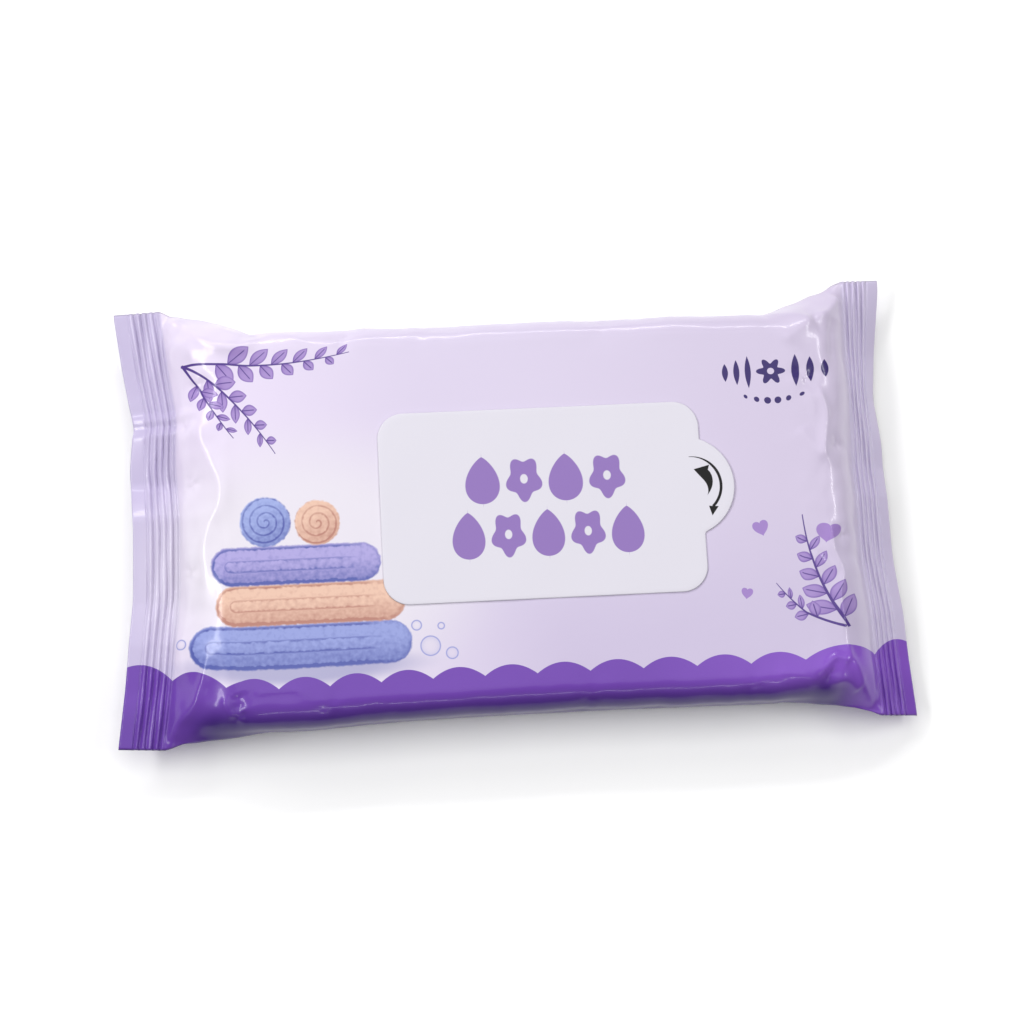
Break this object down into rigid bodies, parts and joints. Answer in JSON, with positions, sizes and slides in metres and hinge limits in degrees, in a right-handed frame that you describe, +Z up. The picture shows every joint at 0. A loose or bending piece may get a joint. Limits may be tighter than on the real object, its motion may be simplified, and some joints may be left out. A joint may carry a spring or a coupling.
{
  "type": "wet wipes pack",
  "caption": "Sealed flow-wrap film pack of wet wipes with crimped end seals and a peel-back reseal label on the front.",
  "frame": {"origin": "centre of the pack's footprint on the surface it lies on", "axes": "+X along the pack from one end seal to the other, towards the label's pull tab; +Y across the pack, towards the long side away from the violet band; +Z up, out of the labelled front"},
  "size_m": [0.2476, 0.137, 0.0247],
  "materials": {
    "film": "glossy printed laminate film, lilac with a violet band along one long side",
    "label": "satin self-adhesive film label, pale lilac"
  },
  "bodies": {
    "root": {"film_pack": "film", "reseal_label": "label"}
  },
  "joints": []
}
